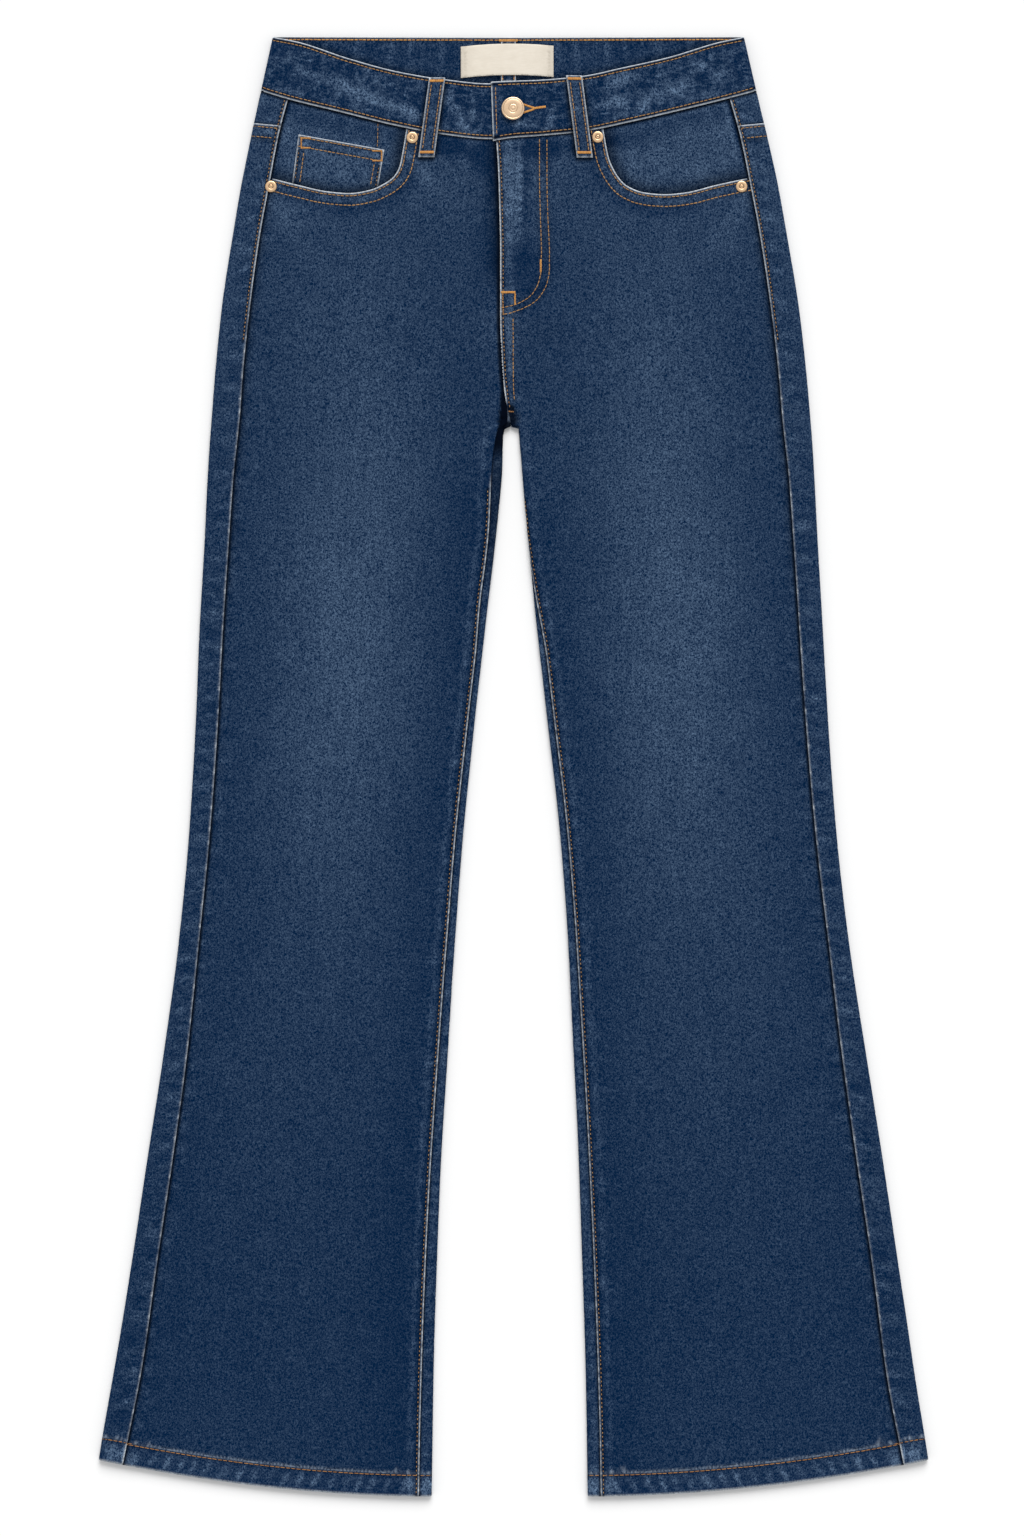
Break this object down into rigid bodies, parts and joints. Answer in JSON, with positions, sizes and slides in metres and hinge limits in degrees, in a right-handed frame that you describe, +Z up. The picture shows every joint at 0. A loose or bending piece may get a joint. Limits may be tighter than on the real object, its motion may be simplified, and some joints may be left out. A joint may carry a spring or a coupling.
{
  "type": "flared jeans",
  "caption": "Flared denim jeans laid flat on their back, with a buttoned waistband and belt loops, a lapped fly, curved front pockets, a coin pocket and long legs that widen below the knee.",
  "frame": {"origin": "on the surface that the jeans lie on, in the middle of their box in plan", "axes": "+Y from the hems towards the waist, +X towards the wearer's left, +Z up from the surface to the front of the jeans"},
  "size_m": [0.6222, 1.0937, 0.0129],
  "materials": {
    "denim": "indigo twill denim, stone-washed, pale at worn edges",
    "zip": "woven zip tape, navy",
    "label": "woven cream label, bare",
    "metal": "pale copper-gold, satin"
  },
  "bodies": {
    "root": {"waistband": "denim", "front_left": "denim", "front_right": "denim", "back_left": "denim", "back_right": "denim", "yoke_left": "denim", "yoke_right": "denim", "pocket_facing_left": "denim", "pocket_facing_right": "denim", "coin_pocket": "denim", "back_pocket_left": "denim", "back_pocket_right": "denim", "belt_loop_front_left": "denim", "belt_loop_front_right": "denim", "belt_loop_side_left": "denim", "belt_loop_side_right": "denim", "belt_loop_back": "denim", "back_tape": "denim", "fly_zip": "zip", "label": "label", "waist_button": "metal", "rivet_left_inner": "metal", "rivet_left_outer": "metal", "rivet_right_inner": "metal", "rivet_right_outer": "metal"}
  },
  "joints": []
}
